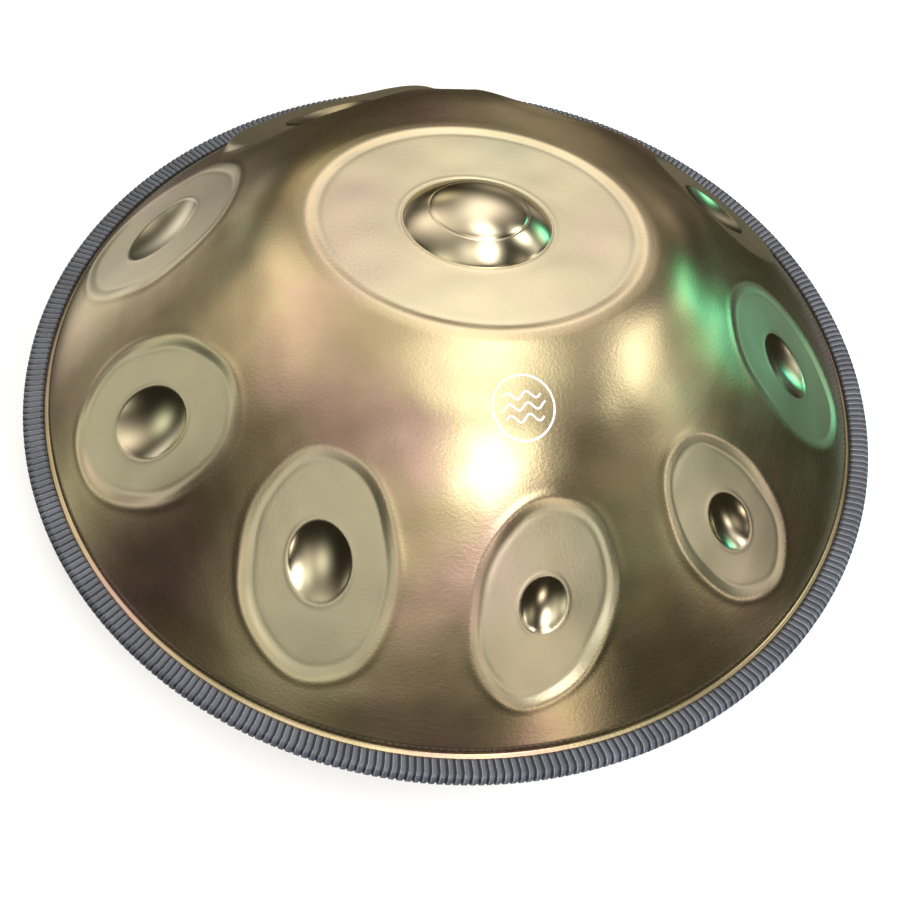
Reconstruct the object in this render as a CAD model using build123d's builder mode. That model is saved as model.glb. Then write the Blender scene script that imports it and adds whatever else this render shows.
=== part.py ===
from build123d import *
import math
import os

os.makedirs("parts", exist_ok=True)

# Handpan: two drawn steel shells glued flange to flange, with a braided rope over the rim.
# Millimetres, +Z up. The origin is on the instrument's axis, on the plane that it stands on.
# The player sits on the -Y side, and bearings are counted anticlockwise from +X.

# Rim
OVERALL_RADIUS = 280.0       # outside of the rim rope
FLANGE_RADIUS = 275.0        # outer edge of both flanges
SHELL_RADIUS = 263.5         # corner where each shell turns out into its flange
CORNER_HEIGHT = 3.0          # that corner's distance from the middle of the glue line
CORNER_FILLET = 1.2
STEEL = 1.2                  # sheet thickness
GLUE_THICKNESS = 0.6         # glue between the flanges
GLUE_SQUEEZE = 1.5           # radius of the glue squeezed out inside the shells

# Upper shell: four tangent arcs from the crown to the corner
DOME_HEIGHT = 134.6          # crown above the middle of the glue line
CROWN_RADIUS = 6000.0
CROWN_ANGLE = 0.87           # slope where the crown meets the roll, in degrees
ROLL_RADIUS = 18.0
ROLL_ANGLE = 17.4            # slope where the roll meets the shoulder
SHOULDER_RADIUS = 204.0
SHOULDER_ANGLE = 37.4        # slope where the shoulder meets the flank
FLANK_RADIUS = 814.0

# Centre note: a low oval plateau with an oval dome on it, their long axes along X
PLATEAU_HEIGHT = 134.9       # above the middle of the glue line
PLATEAU_LONG = 100.0         # half axes
PLATEAU_SHORT = 81.0
PLATEAU_ROOT = 30.0          # how far the plateau's sides run down into the crown
CENTRE_DOME_LONG = 43.0
CENTRE_DOME_SHORT = 35.0
CENTRE_DOME_RISE = 17.0

# Ring of tone fields: flat oval pockets in the flank, each with an oval dimple near its middle.
# Bearing and radius of the centre, length, width, turn of the long axis from radial, how much
# flatter than the flank the field lies, dimple length, width and place down the field.
FIELDS = [
    (171.5, 206.0, 148.0, 116.0, -10.0, 0.0, 66.0, 52.0, 0.0),
    (215.0, 205.0, 129.0, 99.0, -35.0, 0.0, 56.0, 42.0, 2.0),
    (253.5, 203.0, 126.0, 88.0, 16.0, 0.0, 45.0, 35.0, -2.0),
    (288.0, 206.0, 116.0, 80.0, -19.0, 0.0, 31.0, 25.0, 1.0),
    (322.7, 208.0, 115.0, 74.0, 13.0, 0.0, 38.0, 27.0, 2.0),
    (357.5, 206.0, 131.0, 97.0, -4.0, 0.0, 49.0, 38.0, 0.0),
    (36.0, 202.0, 130.0, 97.0, -15.0, 4.0, 56.0, 44.0, -4.0),
    (76.0, 190.0, 156.0, 122.0, 0.0, 0.0, 60.0, 48.0, 0.0),
    (127.0, 192.0, 160.0, 124.0, 90.0, 7.0, 66.0, 52.0, -4.0),
]
FIELD_STEP = 0.5             # how far each field is pressed below flush
FIELD_CLEARANCE = 14.0       # height that is cut away over each field
DIMPLE_DEPTH = 0.11          # dimple depth as a share of its length

# Lower shell: a neck around the port, a flat foot, and one arc from the foot to the corner
LOWER_DEPTH = 102.5          # resting plane to the middle of the glue line
PORT_RADIUS = 50.0           # bore of the neck
NECK_HEIGHT = 34.0
NECK_ROLL = 9.0              # outside radius of the bend from the neck into the foot
FOOT_WIDTH = 14.0

# Rim rope and its glue
ROPE_INNER = 267.5           # inner edge of the rope on both faces of the rim
ROPE_HEIGHT = 10.4
ROPE_ROUNDING = 3.4
ROPE_GLUE = 0.4              # glue between the rope and the flanges
GLUE_BEAD = 0.8              # glue that shows inside the rope's edge

FLANGE_STACK = GLUE_THICKNESS + 2 * STEEL


def flank_end_angle():
    """Slope at which the flank reaches the corner, in degrees."""
    left = SHELL_RADIUS
    sine = 0
    for radius, angle in (
        (CROWN_RADIUS, CROWN_ANGLE),
        (ROLL_RADIUS, ROLL_ANGLE),
        (SHOULDER_RADIUS, SHOULDER_ANGLE),
    ):
        left -= radius * (math.sin(math.radians(angle)) - sine)
        sine = math.sin(math.radians(angle))
    return math.degrees(math.asin(sine + left / FLANK_RADIUS))


def dome_solid(inset):
    """The plain dome, filled, with its surface moved inwards by the inset."""
    base = LOWER_DEPTH + GLUE_THICKNESS / 2
    top = LOWER_DEPTH + DOME_HEIGHT - inset
    with BuildPart() as dome:
        with BuildSketch(Plane.XZ):
            with BuildLine():
                crown = JernArc((0, top), (1, 0), CROWN_RADIUS - inset, -CROWN_ANGLE)
                roll = JernArc(
                    crown @ 1,
                    crown % 1,
                    ROLL_RADIUS - inset,
                    CROWN_ANGLE - ROLL_ANGLE,
                )
                shoulder = JernArc(
                    roll @ 1,
                    roll % 1,
                    SHOULDER_RADIUS - inset,
                    ROLL_ANGLE - SHOULDER_ANGLE,
                )
                flank = JernArc(
                    shoulder @ 1,
                    shoulder % 1,
                    FLANK_RADIUS - inset,
                    SHOULDER_ANGLE - flank_end_angle(),
                )
                rim = flank @ 1
                Polyline(rim, (rim.X, base), (0, base), (0, top))
            make_face()
        revolve(axis=Axis.Z)
    return dome.part


def flank_frame(radius):
    """Height and slope, in radians, of the flank at a distance from the axis."""
    end = math.radians(flank_end_angle())
    slope = math.asin(math.sin(end) - (SHELL_RADIUS - radius) / FLANK_RADIUS)
    height = CORNER_HEIGHT + FLANK_RADIUS * (math.cos(slope) - math.cos(end))
    return LOWER_DEPTH + height, slope


def spheroid(half_long, half_short, rise):
    """Oval ball about local X, and how far below its cap's foot its centre lies.

    The cap of this rise has a foot of these half axes.
    """
    ball_short = (half_short**2 + rise**2) / (2 * rise)
    ball_long = ball_short * half_long / half_short
    with BuildPart() as ball:
        with BuildSketch():
            Ellipse(ball_long, ball_short)
            with Locations((0, -ball_short)):
                Rectangle(2 * ball_long, 2 * ball_short, mode=Mode.SUBTRACT)
        revolve(axis=Axis.X)
    return ball.part, ball_short - rise


def field_plane(field, inset):
    """Plane of a tone field's floor: local Z outwards, local X along the field's length."""
    bearing, radius, length, width, turn, flatter = field[:6]
    height, slope = flank_frame(radius)
    hoop_radius = radius / math.sin(slope)
    depth = length * width / 8 / math.sqrt(hoop_radius * FLANK_RADIUS) + FIELD_STEP
    slope -= math.radians(flatter)
    out = Vector(1, 0, 0).rotate(Axis.Z, bearing)
    normal = out * math.sin(slope) + Vector(0, 0, math.cos(slope))
    down = out * math.cos(slope) - Vector(0, 0, math.sin(slope))
    centre = out * radius + Vector(0, 0, height)
    along = down.rotate(Axis((0, 0, 0), normal), turn)
    return Plane(origin=centre - normal * (depth + inset), x_dir=along, z_dir=normal)


def shell_body(inset):
    """Upper shell's outside as a filled solid, or its hollow when inset by the sheet."""
    plateau_top = Plane.XY.offset(LOWER_DEPTH + PLATEAU_HEIGHT - inset)
    centre_ball, centre_drop = spheroid(
        CENTRE_DOME_LONG - inset, CENTRE_DOME_SHORT - inset, CENTRE_DOME_RISE
    )
    with BuildPart() as body:
        add(dome_solid(inset))
        with BuildSketch(plateau_top):
            Ellipse(PLATEAU_LONG - inset, PLATEAU_SHORT - inset)
        extrude(amount=-PLATEAU_ROOT)
        add(plateau_top.offset(-centre_drop).location * centre_ball)
        for field in FIELDS:
            with BuildSketch(field_plane(field, inset)):
                Ellipse(field[2] / 2 + inset, field[3] / 2 + inset)
            extrude(amount=FIELD_CLEARANCE, mode=Mode.SUBTRACT)
        for field in FIELDS:
            turn = math.radians(field[4])
            length, width, place_down = field[6:]
            ball, drop = spheroid(length / 2 + inset, width / 2 + inset, length * DIMPLE_DEPTH)
            place = Pos(place_down * math.cos(turn), -place_down * math.sin(turn), drop)
            add(field_plane(field, inset).location * place * ball, mode=Mode.SUBTRACT)
    return body.part


def ring(inner, outer, bottom, top):
    """Flat ring about the axis between two heights."""
    with BuildPart() as flat_ring:
        with BuildSketch(Plane.XY.offset(bottom)):
            Circle(outer)
            Circle(inner, mode=Mode.SUBTRACT)
        extrude(amount=top - bottom)
    return flat_ring.part


with BuildPart() as upper_shell:
    flange_bottom = LOWER_DEPTH + GLUE_THICKNESS / 2
    add(shell_body(0))
    add(shell_body(STEEL), mode=Mode.SUBTRACT)
    add(ring(SHELL_RADIUS - STEEL, FLANGE_RADIUS, flange_bottom, flange_bottom + STEEL))
    corner_edges = [
        edge
        for edge in upper_shell.edges().filter_by(GeomType.CIRCLE)
        if abs(edge.radius - SHELL_RADIUS) < 0.01
        and abs(edge.center().Z - flange_bottom - STEEL) < 0.01
    ]
    fillet(corner_edges, CORNER_FILLET)
upper_shell.part.label = "upper_shell"
export_step(upper_shell.part, "parts/upper_shell.step")


def belly_radius():
    """Radius of the arc that leaves the foot level and ends at the corner."""
    run = SHELL_RADIUS - PORT_RADIUS - NECK_ROLL - FOOT_WIDTH
    rise = LOWER_DEPTH - CORNER_HEIGHT
    return (run**2 + rise**2) / (2 * rise)


with BuildPart() as lower_shell:
    foot_inner = PORT_RADIUS + NECK_ROLL
    foot_outer = foot_inner + FOOT_WIDTH
    corner = (SHELL_RADIUS, LOWER_DEPTH - CORNER_HEIGHT)
    flange_top = LOWER_DEPTH - GLUE_THICKNESS / 2
    with BuildSketch(Plane.XZ):
        with BuildLine():
            Line((PORT_RADIUS, NECK_HEIGHT), (PORT_RADIUS, NECK_ROLL))
            RadiusArc((PORT_RADIUS, NECK_ROLL), (foot_inner, 0), -NECK_ROLL)
            Line((foot_inner, 0), (foot_outer, 0))
            RadiusArc((foot_outer, 0), corner, -belly_radius())
            Line(corner, (SHELL_RADIUS, flange_top - STEEL))
            Line((SHELL_RADIUS, flange_top - STEEL), (FLANGE_RADIUS, flange_top - STEEL))
            offset(amount=STEEL, side=Side.LEFT)
        make_face()
    revolve(axis=Axis.Z)
lower_shell.part.label = "lower_shell"
export_step(lower_shell.part, "parts/lower_shell.step")


with BuildPart() as flange_adhesive:
    inner_edge = SHELL_RADIUS - STEEL
    with BuildSketch(Plane.XZ):
        with Locations(((inner_edge + FLANGE_RADIUS) / 2, LOWER_DEPTH)):
            Rectangle(FLANGE_RADIUS - inner_edge, GLUE_THICKNESS)
        with Locations((inner_edge, LOWER_DEPTH)):
            Circle(GLUE_SQUEEZE)
        with Locations((inner_edge + GLUE_SQUEEZE, LOWER_DEPTH + GLUE_SQUEEZE)):
            Rectangle(2 * GLUE_SQUEEZE, 2 * GLUE_SQUEEZE - GLUE_THICKNESS, mode=Mode.SUBTRACT)
        with Locations((inner_edge + GLUE_SQUEEZE, LOWER_DEPTH - GLUE_SQUEEZE)):
            Rectangle(2 * GLUE_SQUEEZE, 2 * GLUE_SQUEEZE - GLUE_THICKNESS, mode=Mode.SUBTRACT)
    revolve(axis=Axis.Z)
flange_adhesive.part.label = "flange_adhesive"
export_step(flange_adhesive.part, "parts/flange_adhesive.step")


def rim_rectangle(inner, outer, height, mode=Mode.ADD):
    """Rectangle of the rim's section between two radii, centred on the glue line."""
    with Locations(((inner + outer) / 2, LOWER_DEPTH)):
        return Rectangle(outer - inner, height, mode=mode)


with BuildPart() as rope_adhesive:
    with BuildSketch(Plane.XZ):
        rim_rectangle(ROPE_INNER - GLUE_BEAD, FLANGE_RADIUS + ROPE_GLUE, FLANGE_STACK + 2 * ROPE_GLUE)
        rim_rectangle(ROPE_INNER - GLUE_BEAD, FLANGE_RADIUS, FLANGE_STACK, Mode.SUBTRACT)
    revolve(axis=Axis.Z)
rope_adhesive.part.label = "rope_adhesive"
export_step(rope_adhesive.part, "parts/rope_adhesive.step")

with BuildPart() as rim_rope:
    with BuildSketch(Plane.XZ):
        rim_rectangle(ROPE_INNER, OVERALL_RADIUS, ROPE_HEIGHT)
        fillet(vertices(), ROPE_ROUNDING)
        slot_height = FLANGE_STACK + 2 * ROPE_GLUE
        slot_inner = ROPE_INNER - ROPE_ROUNDING
        rim_rectangle(slot_inner, FLANGE_RADIUS + ROPE_GLUE, slot_height, Mode.SUBTRACT)
    revolve(axis=Axis.Z)
rim_rope.part.label = "rim_rope"
export_step(rim_rope.part, "parts/rim_rope.step")
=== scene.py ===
import math

import bpy
import numpy as np
from mathutils import Matrix, Vector


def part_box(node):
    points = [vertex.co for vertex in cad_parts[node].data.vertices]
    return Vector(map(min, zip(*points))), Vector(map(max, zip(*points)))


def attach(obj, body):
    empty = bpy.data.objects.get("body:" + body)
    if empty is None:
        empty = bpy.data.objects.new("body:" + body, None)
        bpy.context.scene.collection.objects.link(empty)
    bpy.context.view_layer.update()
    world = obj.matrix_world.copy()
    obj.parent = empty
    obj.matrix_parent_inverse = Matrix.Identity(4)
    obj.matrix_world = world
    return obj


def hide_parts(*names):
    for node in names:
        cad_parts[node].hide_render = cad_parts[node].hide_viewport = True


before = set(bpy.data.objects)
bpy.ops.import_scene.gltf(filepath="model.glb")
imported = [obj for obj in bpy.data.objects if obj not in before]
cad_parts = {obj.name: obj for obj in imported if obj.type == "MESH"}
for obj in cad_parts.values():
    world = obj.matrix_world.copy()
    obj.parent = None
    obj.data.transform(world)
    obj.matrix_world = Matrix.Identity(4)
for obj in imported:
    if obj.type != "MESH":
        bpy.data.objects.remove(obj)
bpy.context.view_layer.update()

# A steel handpan in the CAD frame. Its lengths are in millimetres until a mesh is made, when
# they become metres, and its heights count from the middle of the glue line.
MM = 0.001
ROPE_LOW, ROPE_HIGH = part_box("rim_rope")
RIM_RADIUS = ROPE_HIGH.x / MM
GLUE_Z = (ROPE_LOW.z + ROPE_HIGH.z) / 2 / MM
ROPE_HEIGHT = (ROPE_HIGH.z - ROPE_LOW.z) / MM

# Sheet and rim, as in part.py
STEEL = 1.2
SHELL_RADIUS = 263.5
FLANGE_RADIUS = 275.0
CORNER_HEIGHT = 3.0
CORNER_FILLET = 1.6
CORNER_POINTS = 6
FLANGE_CHAMFER = 0.3
GLUE_THICKNESS = 0.6
ROPE_INNER = 267.5

# Dome: a nearly flat crown, a tight roll, the shoulder and the flank, as tangent arcs
DOME_HEIGHT = 134.6
ARC_RADII = (6000.0, 18.0, 204.0, 814.0)
ARC_SLOPES = (0.87, 17.4, 37.4)

# Centre note
OVALNESS = 0.105             # half axes of the centre's rings are mean * (1 +- OVALNESS)
PLATEAU_MEAN = 91.0
CENTRE_DOME_MEAN = 38.6
CENTRE_DOME_RISE = 15.6
CAP_MEAN = 25.0
CAP_RISE = 0.12              # how far the cap stands above the dome that carries it

# Soft ridges and creases round the centre note: height, mean radius and width of each
CENTRE_RELIEF = [
    (-0.22, CENTRE_DOME_MEAN + 0.3, 0.8),
    (0.15, CENTRE_DOME_MEAN + 2.2, 1.2),
    (-0.2, CAP_MEAN + 0.4, 0.55),
    (0.6, PLATEAU_MEAN - 2.5, 3.2),
    (-0.2, PLATEAU_MEAN - 8.5, 1.8),
]

# Tone fields: bearing and radius of the centre, length, width, turn from radial, how much
# flatter the field lies than the dome, dimple length, width and place down the field
FIELDS = [
    (171.5, 206.0, 148.0, 116.0, -10.0, 0.0, 66.0, 52.0, 0.0),
    (215.0, 205.0, 129.0, 99.0, -35.0, 0.0, 56.0, 42.0, 2.0),
    (253.5, 203.0, 126.0, 88.0, 16.0, 0.0, 45.0, 35.0, -2.0),
    (288.0, 206.0, 116.0, 80.0, -19.0, 0.0, 31.0, 25.0, 1.0),
    (322.7, 208.0, 115.0, 74.0, 13.0, 0.0, 38.0, 27.0, 2.0),
    (357.5, 206.0, 131.0, 97.0, -4.0, 0.0, 49.0, 38.0, 0.0),
    (36.0, 202.0, 130.0, 97.0, -15.0, 4.0, 56.0, 44.0, -4.0),
    (76.0, 190.0, 156.0, 122.0, 0.0, 0.0, 60.0, 48.0, 0.0),
    (127.0, 192.0, 160.0, 124.0, 90.0, 7.0, 66.0, 52.0, -4.0),
]
FIELD_STEP = 0.5             # how far each field is pressed below flush
FIELD_CROWN = 0.6            # how far its middle rises again
FIELD_BORDER = 8.0           # width of the slope down to it
BORDER_RIDGE = 0.30
BORDER_GROOVE = 0.16
DIMPLE_DEPTH = 0.11          # as a share of the dimple's length
DIMPLE_LIP = 0.22
REACH_ROUND_FIELD = 1.5      # points past this share of a field's oval are left alone
REACH_ABOVE_FIELD = 25.0     # and so are points further than this from its plane

# Hand-hammered waviness: height, random seed and size of each set of waves
DENTS = [(0.28, 5, 60.0), (0.05, 7, 24.0)]
PLATEAU_DENTS = (0.11, 9, 42.0)
RIPPLE_WAVES = 14

AROUND = 1440                # mesh columns round the axis


def smooth(low, high, value):
    """0 below low, 1 above high, with a soft S between."""
    t = np.clip((value - low) / (high - low), 0, 1)
    return t * t * (3 - 2 * t)


def bump(value, centre, width):
    """Soft ridge of height 1."""
    return np.exp(-(((value - centre) / width) ** 2))


def dome_arcs():
    """Start radius, centre and radius of each arc of the dome's profile."""
    arcs = []
    reach, height, slope = 0.0, DOME_HEIGHT, 0.0
    for radius, end in zip(ARC_RADII, (*ARC_SLOPES, None)):
        centre_r = reach - radius * math.sin(slope)
        centre_z = height - radius * math.cos(slope)
        arcs.append((reach, centre_r, centre_z, radius))
        if end is not None:
            slope = math.radians(end)
            reach = centre_r + radius * math.sin(slope)
            height = centre_z + radius * math.cos(slope)
    return arcs


ARCS = dome_arcs()


def dome_profile(reach):
    """Height and slope angle of the plain dome at a distance from the axis."""
    height = np.zeros_like(reach)
    slope = np.zeros_like(reach)
    for start, centre_r, centre_z, radius in ARCS:
        here = reach >= start
        sine = (reach - centre_r) / radius
        height = np.where(here, centre_z + radius * np.sqrt(1 - np.clip(sine, 0, 1) ** 2), height)
        slope = np.where(here, np.arcsin(np.clip(sine, 0, 1)), slope)
    return height, slope


def field_frame(field):
    """Origin on the field's flat, its axes along, across and outwards, and the way down it."""
    bearing, reach, length, width, turn, flatter = field[:6]
    height, slope = dome_profile(np.array([reach]))
    height, slope = float(height[0]), float(slope[0])
    hoop_radius = reach / math.sin(slope)
    depth = length * width / 8 / math.sqrt(hoop_radius * ARC_RADII[-1]) + FIELD_STEP
    slope -= math.radians(flatter)
    angle = math.radians(bearing)
    out = np.array([math.cos(angle), math.sin(angle), 0.0])
    side = np.array([-math.sin(angle), math.cos(angle), 0.0])
    up = np.array([0.0, 0.0, 1.0])
    normal = out * math.sin(slope) + up * math.cos(slope)
    down = out * math.cos(slope) - up * math.sin(slope)
    turned = math.radians(turn)
    along = down * math.cos(turned) + side * math.sin(turned)
    across = np.cross(normal, along)
    origin = out * reach + up * height - normal * depth
    return origin, along, across, normal, down


def oval_distance(along, across, half_long, half_short):
    """Share of the way to an oval's outline, and distance in millimetres outside it."""
    share = np.hypot(along / half_long, across / half_short)
    reach = np.hypot(along, across)
    return share, reach - reach / np.maximum(share, 1e-6)


def cap_height(share, half_short, rise):
    """Height of a ball's cap over its oval foot, 0 outside."""
    ball = (half_short**2 + rise**2) / (2 * rise)
    inside = np.clip(ball**2 - (half_short * share) ** 2, 0, None)
    return np.maximum(np.sqrt(inside) - (ball - rise), 0)


def ripple(points, seed, size):
    """Slow hand-hammered waviness, about +-1, from a few crossed waves."""
    rng = np.random.default_rng(seed)
    total = np.zeros(len(points))
    for _ in range(RIPPLE_WAVES):
        direction = rng.normal(size=3)
        direction /= np.linalg.norm(direction)
        wave = 2 * math.pi / (size * rng.uniform(0.6, 1.7))
        total += np.sin(points @ direction * wave + rng.uniform(0, 6.28))
    return total / 3.0


def press_fields(points):
    """Press every tone field and its dimple into the dome."""
    masks = {name: np.zeros(len(points)) for name in ("field", "ridge", "polish")}
    for field in FIELDS:
        origin, along, across, normal, down = field_frame(field)
        length, width = field[2:4]
        dimple_length, dimple_width, drop = field[6:]
        offset = points - origin
        u, v, w = offset @ along, offset @ across, offset @ normal
        share, outside = oval_distance(u, v, length / 2, width / 2)
        turn_round = np.arctan2(v / width, u / length)
        outside += 0.7 * np.sin(3 * turn_round + field[0]) + 0.4 * np.sin(7 * turn_round + width)
        near = (share < REACH_ROUND_FIELD) & (np.abs(w) < REACH_ABOVE_FIELD)
        inside = (1 - smooth(-FIELD_BORDER, 0.5, outside)) * near
        offset -= down * drop
        dimple_share, dimple_out = oval_distance(
            offset @ along, offset @ across, dimple_length / 2, dimple_width / 2
        )
        dent = cap_height(dimple_share, dimple_width / 2, dimple_length * DIMPLE_DEPTH)
        lip = DIMPLE_LIP * bump(dimple_out, 1.0, 1.0)
        crown = FIELD_CROWN * (1 - share**2)
        ridge = BORDER_RIDGE * bump(outside, 0.8, 2.4)
        groove = BORDER_GROOVE * bump(outside, -7.0, 1.8)
        change = inside * (crown - dent + lip - w) + (ridge - groove) * near
        points = points + change[:, None] * normal
        masks["field"] = np.maximum(masks["field"], (1 - smooth(-5.0, -1.0, outside)) * near)
        masks["ridge"] = np.maximum(masks["ridge"], bump(outside, -1.0, 2.2) * near)
        masks["polish"] = np.maximum(masks["polish"], smooth(0.6, -0.6, dimple_out) * near)
    return points, masks


def centre_relief(mean):
    """What the centre note adds to the crown at a ring: its dome, border and crease."""
    share = mean / CENTRE_DOME_MEAN
    half_short = CENTRE_DOME_MEAN * (1 - OVALNESS)
    height = cap_height(share, half_short, CENTRE_DOME_RISE)
    height += CAP_RISE * smooth(CAP_MEAN + 0.6, CAP_MEAN - 2.5, mean)
    for rise, radius, width in CENTRE_RELIEF:
        height += rise * bump(mean, radius, width)
    return height


def ring_means():
    """Mean radii of the mesh's rings, closer together where the shape turns sharply."""
    means = [0.6]
    while means[-1] < SHELL_RADIUS - 1.2:
        here = means[-1]
        step = 1.9
        if min(abs(here - CAP_MEAN), abs(here - CENTRE_DOME_MEAN)) < 3.0:
            step = 0.3
        elif here < CENTRE_DOME_MEAN + 6.0:
            step = 1.0
        elif abs(here - PLATEAU_MEAN) < 14.0:
            step = 0.9
        elif here > 125.0:
            step = 1.0
        means.append(here + step)
    return np.array(means[:-1] + [SHELL_RADIUS])


def ring_points(means, angles):
    """Rings of points: ovals at the centre note that turn to circles outside it."""
    oval = OVALNESS * (1 - smooth(PLATEAU_MEAN + 5, PLATEAU_MEAN + 65, means))
    x = np.outer(means * (1 + oval), np.cos(angles))
    y = np.outer(means * (1 - oval), np.sin(angles))
    return x, y


def upper_surface():
    """Outside of the upper shell as rings of points above the glue line, with paint masks."""
    means = ring_means()
    angles = np.linspace(0, 2 * math.pi, AROUND, endpoint=False)
    x, y = ring_points(means, angles)
    oval_share = (1 - smooth(PLATEAU_MEAN + 8, PLATEAU_MEAN + 62, means))[:, None]
    reach = np.hypot(x, y) * (1 - oval_share) + means[:, None] * oval_share
    height, _ = dome_profile(reach)
    height += centre_relief(means)[:, None]
    points = np.stack([x, y, height], axis=-1).reshape(-1, 3)
    points, masks = press_fields(points)
    ring = np.repeat(means, AROUND)
    loose = smooth(PLATEAU_MEAN + 14, PLATEAU_MEAN + 40, ring) * (1 - smooth(245, 262, ring))
    dents = sum(height * ripple(points, seed, size) for height, seed, size in DENTS)
    points[:, 2] += dents * loose * (1 - masks["polish"])
    plateau = 1 - smooth(PLATEAU_MEAN - 8, PLATEAU_MEAN - 5, ring)
    off_dome = smooth(CENTRE_DOME_MEAN + 3, CENTRE_DOME_MEAN + 12, ring)
    dent_height, seed, size = PLATEAU_DENTS
    points[:, 2] += dent_height * ripple(points, seed, size) * plateau * off_dome
    masks["field"] = np.maximum(masks["field"], plateau)
    masks["ridge"] = np.maximum(masks["ridge"], bump(ring, PLATEAU_MEAN - 3.0, 4.0))
    masks["polish"] = np.maximum(masks["polish"], 1 - smooth(-0.5, 0.5, ring - CENTRE_DOME_MEAN))
    return points.reshape(len(means), AROUND, 3), masks


def arc_points(centre, radius, start, end, steps):
    """Points on an arc in the (reach, height) plane, angles in degrees."""
    turns = np.radians(np.linspace(start, end, steps))
    return [(centre[0] + radius * math.cos(t), centre[1] + radius * math.sin(t)) for t in turns]


def round_rings(profile):
    """Circular rings of points for a list of (reach, height) pairs."""
    angles = np.linspace(0, 2 * math.pi, AROUND, endpoint=False)
    profile = np.array(profile)
    x = np.outer(profile[:, 0], np.cos(angles))
    y = np.outer(profile[:, 0], np.sin(angles))
    z = np.repeat(profile[:, 1], AROUND).reshape(x.shape)
    return np.stack([x, y, z], axis=-1)


def mesh_from_rings(name, rings, capped=False, closed=False, masks=None):
    """Mesh skinned over rings of points, in millimetres above the glue line."""
    count, around = rings.shape[:2]
    points = rings.reshape(-1, 3).copy()
    points[:, 2] += GLUE_Z
    points *= MM
    spans = count if closed else count - 1
    ring, column = np.meshgrid(np.arange(spans), np.arange(around), indexing="ij")
    here = ring * around
    beyond = (ring + 1) % count * around
    turned = (column + 1) % around
    quads = np.stack([here + column, beyond + column, beyond + turned, here + turned], axis=-1)
    faces = quads.reshape(-1, 4).tolist()
    if capped:
        first = len(points)
        tips = [points[:around].mean(0), points[-around:].mean(0)]
        points = np.vstack([points, tips])
        last = (count - 1) * around
        faces += [(first, a, (a + 1) % around) for a in range(around)]
        faces += [(first + 1, last + (a + 1) % around, last + a) for a in range(around)]
    mesh = bpy.data.meshes.new(name)
    mesh.from_pydata(points.tolist(), [], faces)
    for mask_name, values in (masks or {}).items():
        layer = mesh.attributes.new(mask_name, "FLOAT", "POINT")
        padded = np.zeros(len(points), np.float32)
        padded[: len(values)] = values
        layer.data.foreach_set("value", padded)
    mesh.polygons.foreach_set("use_smooth", [True] * len(mesh.polygons))
    mesh.update()
    piece = bpy.data.objects.new(name, mesh)
    bpy.context.scene.collection.objects.link(piece)
    return piece


def shell_rim():
    """Profile of the sheet from the flank's end over the flange and back inside."""
    bottom = GLUE_THICKNESS / 2
    top = bottom + STEEL
    centre = (SHELL_RADIUS + CORNER_FILLET, top + CORNER_FILLET)
    return arc_points(centre, CORNER_FILLET, 210, 270, CORNER_POINTS) + [
        (FLANGE_RADIUS - FLANGE_CHAMFER, top),
        (FLANGE_RADIUS, top - FLANGE_CHAMFER),
        (FLANGE_RADIUS, bottom),
        (SHELL_RADIUS - STEEL, bottom),
    ]


def inner_surface(outer):
    """The sheet's inside: every second ring of the outside, from the rim up, moved inwards."""
    along = np.gradient(outer, axis=0)
    around = np.roll(outer, -1, axis=1) - np.roll(outer, 1, axis=1)
    normal = np.cross(along, around)
    normal /= np.linalg.norm(normal, axis=-1, keepdims=True)
    normal *= np.sign(normal[..., 2].mean())
    return (outer - normal * STEEL)[::-2]


def build_upper_shell():
    """The played shell as one closed sheet of steel."""
    outer, masks = upper_surface()
    rings = np.concatenate([outer, round_rings(shell_rim()), inner_surface(outer)])
    return mesh_from_rings("upper_shell_steel", rings, capped=True, masks=masks)


# Lower shell

PORT_RADIUS = 50.0
NECK_HEIGHT = 34.0
NECK_ROLL = 9.0
FOOT_WIDTH = 14.0


def lower_profile():
    """Outside of the lower shell from the neck's top to the flange's edge."""
    floor = -GLUE_Z
    foot_inner = PORT_RADIUS + NECK_ROLL
    foot_outer = foot_inner + FOOT_WIDTH
    run = SHELL_RADIUS - foot_outer
    rise = GLUE_Z - CORNER_HEIGHT
    belly = (run**2 + rise**2) / (2 * rise)
    end = math.degrees(math.asin(run / belly))
    neck_z = np.linspace(floor + NECK_HEIGHT, floor + NECK_ROLL, 14)
    neck = [(PORT_RADIUS, z) for z in neck_z]
    roll = arc_points((foot_inner, floor + NECK_ROLL), NECK_ROLL, 180, 270, 14)[1:]
    foot = [(r, floor) for r in np.linspace(foot_inner, foot_outer, 8)][1:]
    flank = arc_points((foot_outer, floor + belly), belly, -90, -90 + end, 120)[1:]
    under = -(GLUE_THICKNESS / 2 + STEEL)
    centre = (SHELL_RADIUS + CORNER_FILLET, under - CORNER_FILLET)
    corner = arc_points(centre, CORNER_FILLET, 150, 90, CORNER_POINTS)
    flange = [(FLANGE_RADIUS - FLANGE_CHAMFER, under), (FLANGE_RADIUS, under + FLANGE_CHAMFER)]
    return neck + roll + foot + flank + corner + flange


def offset_profile(profile, distance):
    """A profile moved sideways by a distance, to the left of its direction."""
    profile = np.array(profile)
    along = np.gradient(profile, axis=0)
    left = np.stack([-along[:, 1], along[:, 0]], axis=-1)
    return profile + left / np.linalg.norm(left, axis=-1, keepdims=True) * distance


def build_lower_shell():
    """The lower shell with its port, foot and flange as one closed sheet."""
    outside = lower_profile()
    before_corner = outside[: -(CORNER_POINTS + 2)]
    inside = [tuple(p) for p in offset_profile(before_corner, STEEL)]
    joint = -GLUE_THICKNESS / 2
    rim = [(FLANGE_RADIUS, joint), (SHELL_RADIUS - STEEL, joint)]
    profile = outside + rim + inside[::-1]
    return mesh_from_rings("lower_shell_steel", round_rings(profile), closed=True)


# Rope

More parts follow.
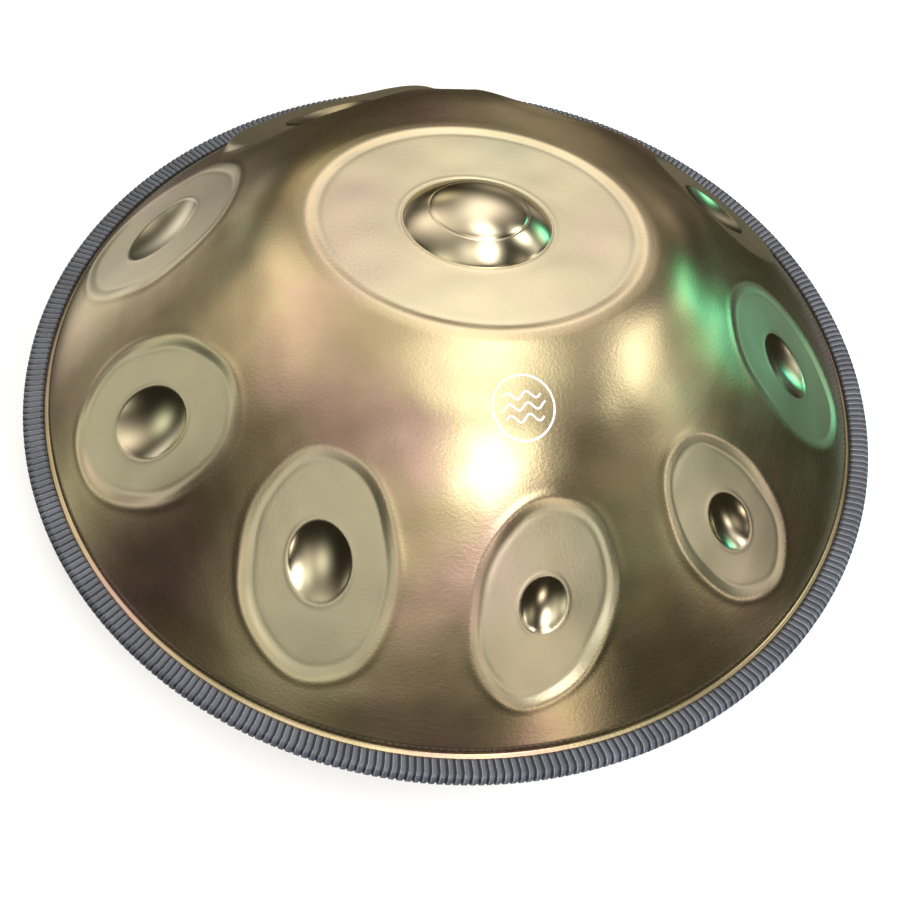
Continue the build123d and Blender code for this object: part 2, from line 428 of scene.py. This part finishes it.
RIBS = 400
RIB_COLUMNS = 12             # mesh columns in a rib
RIB_HEIGHT = 0.55
ROPE_ROUNDING = 3.6
ROPE_LIP = 1.5               # rounding of its inner edges
ROPE_GAP = 0.45              # between the rope and the flanges
ROPE_SLOT = GLUE_THICKNESS / 2 + STEEL + ROPE_GAP
KINK = 0.27                  # where the ribs kink, as a share of the way over the rope


def rope_section():
    """Rounded outline of the rope from its upper inner lip, over the outside, to its lower lip."""
    half = ROPE_HEIGHT / 2 - RIB_HEIGHT
    outer = RIM_RADIUS - RIB_HEIGHT
    lip_centre = (ROPE_INNER + ROPE_LIP, half - ROPE_LIP - 0.6)
    upper = [(ROPE_INNER + 0.2, ROPE_SLOT)]
    upper += arc_points(lip_centre, ROPE_LIP, 180, 100, 7)
    upper += arc_points((outer - ROPE_ROUNDING, half - ROPE_ROUNDING), ROPE_ROUNDING, 85, 0, 14)
    lower = [(r, -z) for r, z in upper[::-1]]
    return np.array(upper + lower)


def resample(profile, count):
    """The same outline with points evenly spaced along it."""
    steps = np.r_[0, np.cumsum(np.hypot(*np.diff(profile, axis=0).T))]
    even = np.linspace(0, steps[-1], count)
    return np.stack([np.interp(even, steps, profile[:, k]) for k in (0, 1)], axis=-1)


def build_rope():
    """Braided rope over the rim: ribs that lean over each other, with a kink half way."""
    section = resample(rope_section(), 64)
    count = len(section)
    along = np.gradient(section, axis=0)
    normal = np.stack([-along[:, 1], along[:, 0]], axis=-1)
    normal /= np.linalg.norm(normal, axis=-1, keepdims=True)
    across = np.linspace(0, 1, count)
    angles = np.linspace(0, 2 * math.pi, RIBS * RIB_COLUMNS, endpoint=False)
    rib = angles / (2 * math.pi) * RIBS
    lean = 0.9 * np.abs(across - KINK) * (across < 0.6) + 0.3 * (across >= 0.6)
    wobble = 0.05 * np.sin(angles * 37) + 0.04 * np.sin(angles * 91 + 1)
    phase = (rib[None, :] + lean[:, None] + wobble[None, :]) % 1
    saw = smooth(0.0, 0.25, phase) * (1 - 0.25 * phase) * (1 - smooth(0.8, 1.0, phase))
    edge = smooth(0.0, 0.04, across) * (1 - smooth(0.96, 1.0, across))
    rise = RIB_HEIGHT * (2 * saw - 1) * edge[:, None]
    reach = section[:, :1] + normal[:, :1] * rise
    height = section[:, 1:] + normal[:, 1:] * rise
    rings = np.stack([reach * np.cos(angles), reach * np.sin(angles), height], axis=-1)
    slot_reach = FLANGE_RADIUS + ROPE_GAP
    for z in (-ROPE_SLOT, ROPE_SLOT):
        wall = [slot_reach * np.cos(angles), slot_reach * np.sin(angles), np.full_like(angles, z)]
        rings = np.concatenate([rings, np.stack(wall, axis=-1)[None]])
    hidden = np.zeros(2 * len(angles))
    # How deep each point sits between two ribs; the rope's material uses it to paint glints on the
    # crests and shade in the valleys.
    valley = np.r_[(1 - saw).reshape(-1), hidden]
    # Painted shade: the lower half of the rope, and the hidden slot walls, are marked to be painted
    # near black.
    under = np.r_[np.repeat(smooth(0.50, 0.66, across), len(angles)), hidden + 1]
    masks = {"valley": valley, "under": under}
    return mesh_from_rings("rim_rope_braid", rings, closed=True, masks=masks)


# Printed mark: a ring round three ripples

MARK_REACH = 121.0           # mark's centre from the axis
MARK_BEARING = -72.0
MARK_RADIUS = 16.5
MARK_STROKE = 0.48           # half width of its lines
MARK_LIFT = 0.05             # its underside above the steel
MARK_THICKNESS = 0.10
RIPPLES = [(5.8, 10.0), (0.0, 12.0), (-5.8, 10.0)]    # height and half length of each
RIPPLE_RISE = 1.8
RIPPLE_LENGTH = 10.0


def mark_lines():
    """Centre lines of the mark, a ring round three ripples, in millimetres on a flat sheet."""
    ring = np.linspace(0, 2 * math.pi, 121)
    lines = [MARK_RADIUS * np.stack([np.cos(ring), np.sin(ring)], axis=-1)]
    for height, half in RIPPLES:
        x = np.linspace(-half, half, 61)
        y = height + RIPPLE_RISE * np.sin(x * 2 * math.pi / RIPPLE_LENGTH)
        lines.append(np.stack([x, y], axis=-1))
    return lines


def build_mark(shell):
    """The mark as thin ink that lies on the shell."""
    bearing = math.radians(MARK_BEARING)
    out = Vector((math.cos(bearing), math.sin(bearing), 0))
    side = Vector((-out.y, out.x, 0))
    vertices, faces = [], []
    for line in mark_lines():
        along = np.gradient(line, axis=0)
        across = np.stack([-along[:, 1], along[:, 0]], axis=-1)
        across /= np.linalg.norm(across, axis=-1, keepdims=True)
        closed = bool(np.allclose(line[0], line[-1]))
        count = len(line) - 1 if closed else len(line)
        first = len(vertices)
        for k in range(count):
            for edge in (-MARK_STROKE, MARK_STROKE):
                x, y = line[k] + across[k] * edge
                spot = out * (MARK_REACH - y) + side * x
                hit, place, normal, _ = shell.ray_cast(Vector((spot.x, spot.y, 400)) * MM, (0, 0, -1))
                for lift in (MARK_LIFT, MARK_LIFT + MARK_THICKNESS):
                    vertices.append(place + normal * lift * MM)
        spans = count if closed else count - 1
        for k in range(spans):
            a, b = first + 4 * k, first + 4 * ((k + 1) % count)
            faces += [(a + p, a + q, b + q, b + p) for p, q in ((0, 1), (1, 3), (3, 2), (2, 0))]
        if not closed:
            last = first + 4 * (count - 1)
            faces += [(first, first + 2, first + 3, first + 1), (last, last + 1, last + 3, last + 2)]
    mesh = bpy.data.meshes.new("ripple_mark")
    mesh.from_pydata(vertices, [], faces)
    mesh.update()
    mark = bpy.data.objects.new("ripple_mark", mesh)
    bpy.context.scene.collection.objects.link(mark)
    return mark


# Materials


def new_material(name):
    """A material with its node tree and its shader."""
    material = bpy.data.materials.new(name)
    material.use_nodes = True
    tree = material.node_tree
    return material, tree, tree.nodes["Principled BSDF"]


def add_node(tree, kind, links=None, **settings):
    """A node with its settings; links maps its input names or numbers to sockets or values."""
    node = tree.nodes.new(kind)
    for key, value in settings.items():
        setattr(node, key, value)
    for key, value in (links or {}).items():
        if isinstance(value, bpy.types.NodeSocket):
            tree.links.new(value, node.inputs[key])
        else:
            node.inputs[key].default_value = value
    return node


def mask_socket(tree, name):
    """Value of a paint mask of the mesh."""
    return add_node(tree, "ShaderNodeAttribute", attribute_name=name).outputs["Fac"]


def math_node(tree, operation, a, b=0.0):
    """Result of an operation on two sockets or values."""
    return add_node(tree, "ShaderNodeMath", {0: a, 1: b}, operation=operation).outputs[0]


def mix_colour(tree, factor, a, b, blend="MIX"):
    """Two colours mixed by a factor."""
    node = add_node(tree, "ShaderNodeMix", data_type="RGBA", blend_type=blend)
    for index, value in ((0, factor), (6, a), (7, b)):
        if isinstance(value, bpy.types.NodeSocket):
            tree.links.new(value, node.inputs[index])
        else:
            node.inputs[index].default_value = value
    return node.outputs[2]


def ramp(tree, factor, *stops):
    """Colours at positions along a factor."""
    node = add_node(tree, "ShaderNodeValToRGB", {"Fac": factor})
    elements = node.color_ramp.elements
    while len(elements) < len(stops):
        elements.new(0.5)
    for element, (position, colour) in zip(elements, stops):
        element.position = position
        element.color = (*colour, 1)
    return node.outputs["Color"]


def ring_coordinates(tree, across, along):
    """Coordinates that stretch a texture round the instrument's axis."""
    place = add_node(tree, "ShaderNodeTexCoord").outputs["Object"]
    flat = add_node(tree, "ShaderNodeVectorMath", {0: place, 1: (1, 1, 0)}, operation="MULTIPLY")
    reach = add_node(tree, "ShaderNodeVectorMath", {0: flat.outputs[0]}, operation="LENGTH")
    turn = add_node(tree, "ShaderNodeVectorMath", {0: flat.outputs[0]}, operation="NORMALIZE")
    split = add_node(tree, "ShaderNodeSeparateXYZ", {0: turn.outputs[0]})
    height = add_node(tree, "ShaderNodeSeparateXYZ", {0: place}).outputs["Z"]
    meridian = math_node(tree, "SUBTRACT", reach.outputs["Value"], height)
    joined = add_node(
        tree,
        "ShaderNodeCombineXYZ",
        {
            0: math_node(tree, "MULTIPLY", split.outputs["X"], along),
            1: math_node(tree, "MULTIPLY", split.outputs["Y"], along),
            2: math_node(tree, "MULTIPLY", meridian, across),
        },
    )
    return joined.outputs[0]


BRUSHED = 0.5                # how far the brushing stretches reflections
STEEL_ROUGHNESS = 0.255
SATIN = (0.84, 0.80, 0.60, 1)          # paler skin of the fields and the plateau
WORN = (0.84, 0.74, 0.55, 1)           # rubbed borders


def steel_tint(tree, place, streaks):
    """Cloudy olive, gold and pink heat tints, with darker patches and faint streaks."""
    clouds = add_node(tree, "ShaderNodeTexNoise", {"Vector": place, "Scale": 9.0, "Detail": 4.0})
    shades = add_node(tree, "ShaderNodeTexNoise", {"Vector": place, "Scale": 15.0, "Detail": 3.0})
    tint = ramp(
        tree,
        clouds.outputs["Fac"],
        (0.34, (0.57, 0.58, 0.34)),
        (0.45, (0.72, 0.60, 0.35)),
        (0.56, (0.78, 0.63, 0.38)),
        (0.66, (0.82, 0.57, 0.44)),
    )
    mottled = ramp(tree, shades.outputs["Fac"], (0.32, (0.72, 0.72, 0.70)), (0.62, (1.0, 1.0, 1.0)))
    tint = mix_colour(tree, 1.0, tint, mottled, "MULTIPLY")
    brushed = ramp(tree, streaks, (0.3, (0.4, 0.4, 0.4)), (0.7, (1.0, 1.0, 1.0)))
    return mix_colour(tree, 0.05, tint, brushed, "MULTIPLY")


def steel_material(name, masked):
    """Heat-tinted champagne steel, finely brushed round the axis; masked where it has notes."""
    material, tree, shader = new_material(name)
    place = add_node(tree, "ShaderNodeTexCoord").outputs["Object"]
    lay = ring_coordinates(tree, 900.0, 9.0)
    streaks = add_node(
        tree, "ShaderNodeTexNoise", {"Vector": lay, "Scale": 1.0, "Detail": 3.0}
    ).outputs["Fac"]
    colour = steel_tint(tree, place, streaks)
    shader.inputs["Metallic"].default_value = 1.0
    shader.inputs["Anisotropic"].default_value = BRUSHED
    shader.inputs["Anisotropic Rotation"].default_value = 0.25
    tangent = add_node(tree, "ShaderNodeTangent", direction_type="RADIAL", axis="Z")
    tree.links.new(tangent.outputs[0], shader.inputs["Tangent"])
    grain = add_node(tree, "ShaderNodeTexNoise", {"Vector": place, "Scale": 620.0, "Detail": 2.0})
    rough = add_node(
        tree, "ShaderNodeMath", {0: streaks, 1: 0.03, 2: STEEL_ROUGHNESS}, operation="MULTIPLY_ADD"
    ).outputs[0]
    strength = 1.0
    height = mix_colour(tree, 0.88, streaks, grain.outputs["Fac"])
    if masked:
        field, ridge, polish = (mask_socket(tree, m) for m in ("field", "ridge", "polish"))
        dull = math_node(tree, "MULTIPLY", field, 0.07)
        rough = math_node(tree, "ADD", rough, dull)
        shine = math_node(tree, "MULTIPLY", polish, 0.16)
        rough = math_node(tree, "SUBTRACT", rough, shine)
        rough = math_node(tree, "MAXIMUM", rough, 0.12)
        satin = mix_colour(tree, 0.5, colour, SATIN)
        colour = mix_colour(tree, field, colour, satin)
        worn = math_node(tree, "MULTIPLY", ridge, 0.35)
        colour = mix_colour(tree, worn, colour, WORN)
        height = mix_colour(tree, field, height, grain.outputs["Fac"])
        strength = math_node(tree, "SUBTRACT", 1.0, polish)
    tree.links.new(colour, shader.inputs["Base Color"])
    tree.links.new(rough, shader.inputs["Roughness"])
    relief = add_node(
        tree, "ShaderNodeBump", {"Height": height, "Strength": strength, "Distance": 0.00006}
    )
    tree.links.new(relief.outputs[0], shader.inputs["Normal"])
    return material


PAINTED_SHADE_UNDERSIDE = (0.012, 0.013, 0.016, 1)   # painted shade: the rope's lower half painted near black


def rope_material():
    """Slate braided cord with painted highlights on its crests, painted shade in its valleys and a
    black underside of painted shade.
    """
    material, tree, shader = new_material("rope_braid")
    place = add_node(tree, "ShaderNodeTexCoord").outputs["Object"]
    fibre = add_node(tree, "ShaderNodeTexNoise", {"Vector": place, "Scale": 1400.0, "Detail": 3.0})
    patches = add_node(tree, "ShaderNodeTexNoise", {"Vector": place, "Scale": 30.0, "Detail": 2.0})
    worn = ramp(tree, patches.outputs["Fac"], (0.35, (0.7, 0.7, 0.7)), (0.65, (1.0, 1.0, 1.0)))
    # Painted highlight and shade: the rib crests are painted light grey-blue as glints, and the colour
    # darkens into near black as painted shade down into the valleys.
    ribs = ramp(
        tree,
        mask_socket(tree, "valley"),
        (0.06, (0.36, 0.39, 0.45)),
        (0.09, (0.070, 0.078, 0.098)),
        (0.45, (0.036, 0.040, 0.052)),
        (0.95, (0.010, 0.011, 0.014)),
    )
    cloth = mix_colour(tree, 1.0, ribs, worn, "MULTIPLY")
    # Painted shade: the lower half of the rope is painted near black.
    under = mask_socket(tree, "under")
    shaded = mix_colour(tree, under, cloth, PAINTED_SHADE_UNDERSIDE)
    threads = ramp(tree, fibre.outputs["Fac"], (0.3, (0.3, 0.3, 0.3)), (0.7, (1.0, 1.0, 1.0)))
    spun = mix_colour(tree, 0.35, shaded, threads, "MULTIPLY")
    tree.links.new(spun, shader.inputs["Base Color"])
    shader.inputs["Roughness"].default_value = 0.30
    shader.inputs["Specular IOR Level"].default_value = 0.9
    shader.inputs["Sheen Weight"].default_value = 0.08
    shader.inputs["Sheen Roughness"].default_value = 0.4
    relief = add_node(
        tree, "ShaderNodeBump", {"Height": fibre.outputs["Fac"], "Strength": 0.6, "Distance": 0.0002}
    )
    tree.links.new(relief.outputs[0], shader.inputs["Normal"])
    return material


def glue_material():
    """Black glue with a slightly uneven satin skin."""
    material, tree, shader = new_material("black_glue")
    place = add_node(tree, "ShaderNodeTexCoord").outputs["Object"]
    lumps = add_node(tree, "ShaderNodeTexNoise", {"Vector": place, "Scale": 250.0, "Detail": 2.0})
    tint = ramp(tree, lumps.outputs["Fac"], (0.3, (0.010, 0.010, 0.011)), (0.7, (0.030, 0.028, 0.026)))
    tree.links.new(tint, shader.inputs["Base Color"])
    shader.inputs["Roughness"].default_value = 0.45
    relief = add_node(
        tree, "ShaderNodeBump", {"Height": lumps.outputs["Fac"], "Strength": 0.5, "Distance": 0.0002}
    )
    tree.links.new(relief.outputs[0], shader.inputs["Normal"])
    return material


def ink_material():
    """Off-white print, slightly worn so that the steel's tone comes through."""
    material, tree, shader = new_material("white_ink")
    place = add_node(tree, "ShaderNodeTexCoord").outputs["Object"]
    wear = add_node(tree, "ShaderNodeTexNoise", {"Vector": place, "Scale": 500.0, "Detail": 3.0})
    tint = ramp(tree, wear.outputs["Fac"], (0.3, (0.66, 0.63, 0.54)), (0.55, (0.88, 0.87, 0.83)))
    tree.links.new(tint, shader.inputs["Base Color"])
    shader.inputs["Roughness"].default_value = 0.55
    return material


# Stage

CAMERA_BACK = 1.559          # in outer radii from the axis towards the player
CAMERA_UP = 2.005            # in outer radii above the rim
CAMERA_YAW = 0.53
CAMERA_PITCH = 56.73
CAMERA_ROLL = 8.68
CAMERA_LENS = 41.88
CAMERA_SENSOR = 36.0
FLOOR_HALF = 6.0             # metres


def make_camera():
    """Camera above the player's seat, turned by yaw, pitch and roll."""
    radius = RIM_RADIUS * MM
    data = bpy.data.cameras.new("camera")
    data.sensor_width = CAMERA_SENSOR
    data.lens = CAMERA_LENS
    camera = bpy.data.objects.new("camera", data)
    bpy.context.scene.collection.objects.link(camera)
    yaw, pitch, roll = (math.radians(a) for a in (CAMERA_YAW, CAMERA_PITCH, CAMERA_ROLL))
    level = math.cos(pitch)
    forward = Vector((math.sin(yaw) * level, math.cos(yaw) * level, -math.sin(pitch)))
    side = forward.cross(Vector((0, 0, 1))).normalized()
    rise = side.cross(forward)
    right = side * math.cos(roll) + rise * math.sin(roll)
    up = rise * math.cos(roll) - side * math.sin(roll)
    camera.matrix_world = Matrix((right, up, -forward)).transposed().to_4x4()
    camera.location = (0, -CAMERA_BACK * radius, GLUE_Z * MM + CAMERA_UP * radius)
    bpy.context.scene.camera = camera


def make_floor():
    """Pale floor that isn't mirrored in the steel."""
    mesh = bpy.data.meshes.new("floor")
    corners = [(-1, -1, 0), (1, -1, 0), (1, 1, 0), (-1, 1, 0)]
    mesh.from_pydata([Vector(c) * FLOOR_HALF for c in corners], [], [(0, 1, 2, 3)])
    floor = bpy.data.objects.new("floor", mesh)
    bpy.context.scene.collection.objects.link(floor)
    material, _, shader = new_material("pale_floor")
    shader.inputs["Base Color"].default_value = (0.86, 0.86, 0.85, 1)
    shader.inputs["Roughness"].default_value = 0.9
    floor.data.materials.append(material)
    floor.visible_glossy = False


# Soft lamps of the studio: bearing, elevation, half width in degrees, brightness, colour
LAMPS = [
    (-66, 52, 7, 6.5, (1.0, 0.99, 0.96)),      # key, over the player's right shoulder
    (-58, 62, 8, 4.6, (1.0, 0.99, 0.96)),
    (-94, 56, 12, 1.2, (1.0, 0.98, 0.92)),
    (-12, 80, 9, 2.5, (1.0, 0.98, 0.95)),      # ceiling
    (40, 86, 9, 2.0, (1.0, 0.98, 0.95)),
    (92, 68, 14, 1.1, (1.0, 0.97, 0.93)),
    (14, 46, 8, 4.8, (1.0, 0.99, 0.97)),       # window on the right
    (8, 29, 8, 0.9, (1.0, 0.97, 0.94)),
    (-7, 18, 6, 2.6, (1.0, 0.95, 0.88)),
    (-24, 29, 9, 0.5, (1.0, 0.95, 0.80)),
    (84, 49, 17, 1.5, (1.0, 0.93, 0.89)),      # wall behind the instrument
    (84, 5, 9, 0.45, (1.0, 0.88, 0.72)),
    (62, 8, 10, 0.45, (1.0, 0.88, 0.80)),
    (42, -9, 6, 0.22, (0.95, 1.0, 1.05)),
    (160, 40, 17, 1.15, (1.0, 0.90, 0.84)),    # wall on the left
    (178, 6, 11, 1.1, (0.94, 1.0, 0.86)),
    (143, -12, 14, 1.1, (1.0, 0.98, 0.96)),
    (178, 64, 24, 0.75, (1.0, 0.94, 0.87)),
    (-122, 32, 13, 1.1, (1.0, 1.0, 0.90)),
    (-57, 17, 6, 3.6, (1.0, 0.89, 0.79)),
    (-92, 38, 12, 0.5, (1.0, 0.94, 0.82)),
    (36, 16, 7, 2.6, (0.22, 1.0, 0.66)),       # green glow from low on the right
    (33, 8, 3, 2.4, (0.10, 1.0, 0.95)),
    (28, 21, 8, 1.2, (0.78, 1.0, 0.80)),
    (117, 26, 9, 0.8, (1.0, 0.90, 0.66)),
]
AMBIENT = (0.022, 0.0187, 0.0121)
BACKDROP = (0.94, 0.94, 0.94, 1)


def soft_panel(name, place, size, power):
    """Panel that lights the floor and the rope and isn't mirrored in the steel."""
    data = bpy.data.lights.new(name, "AREA")
    data.shape = "SQUARE"
    data.size = size
    data.energy = power
    panel = bpy.data.objects.new(name, data)
    bpy.context.scene.collection.objects.link(panel)
    panel.location = place
    panel.rotation_euler = Vector(place).to_track_quat("Z", "Y").to_euler()
    panel.visible_glossy = False


def lamp_glow(tree, direction, lamp):
    """Light that a soft round lamp sends along a direction."""
    bearing, elevation, width, brightness, colour = lamp
    b, e, w = (math.radians(a) for a in (bearing, elevation, width))
    aim = (math.cos(b) * math.cos(e), math.sin(b) * math.cos(e), math.sin(e))
    facing = add_node(tree, "ShaderNodeVectorMath", {0: direction, 1: aim}, operation="DOT_PRODUCT")
    falloff = add_node(
        tree,
        "ShaderNodeMath",
        {0: facing.outputs["Value"], 1: 2 / w**2, 2: math.log(brightness) - 2 / w**2},
        operation="MULTIPLY_ADD",
    )
    glow = math_node(tree, "EXPONENT", falloff.outputs[0])
    tint = add_node(tree, "ShaderNodeVectorMath", {0: colour, 1: glow}, operation="MULTIPLY")
    return tint.outputs[0]


def make_world():
    """Soft lamps round the instrument, and a plain backdrop where the camera looks past it."""
    world = bpy.data.worlds.new("studio")
    world.use_nodes = True
    bpy.context.scene.world = world
    tree = world.node_tree
    direction = add_node(tree, "ShaderNodeTexCoord").outputs["Generated"]
    total = AMBIENT
    for lamp in LAMPS:
        glow = lamp_glow(tree, direction, lamp)
        total = add_node(tree, "ShaderNodeVectorMath", {0: glow, 1: total}).outputs[0]
    seen = add_node(tree, "ShaderNodeLightPath").outputs["Is Camera Ray"]
    colour = mix_colour(tree, seen, total, BACKDROP)
    back = tree.nodes["Background"]
    tree.links.new(colour, back.inputs["Color"])
    back.inputs["Strength"].default_value = 1.0


upper = build_upper_shell()
lower = build_lower_shell()
rope = build_rope()
bpy.context.view_layer.update()
mark = build_mark(upper)
for piece, node, slot in (
    (upper, "upper_shell", "shell_steel"),
    (lower, "lower_shell", "shell_steel"),
    (rope, "rim_rope", "rim_rope"),
):
    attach(piece, "root")
    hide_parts(node)
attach(mark, "root")
mark.data.materials.append(ink_material())
upper.data.materials.append(steel_material("played_steel", True))
lower.data.materials.append(steel_material("lower_steel", False))
rope.data.materials.append(rope_material())
glue = glue_material()
for node in ("flange_adhesive", "rope_adhesive"):
    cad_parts[node].data.materials.clear()
    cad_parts[node].data.materials.append(glue)

make_floor()
make_world()
soft_panel("overhead_panel", (0.2, -0.2, 2.4), 2.4, 45)
soft_panel("front_panel", (1.1, -1.2, 0.7), 0.8, 40)
make_camera()
bpy.context.scene.view_settings.view_transform = "Standard"
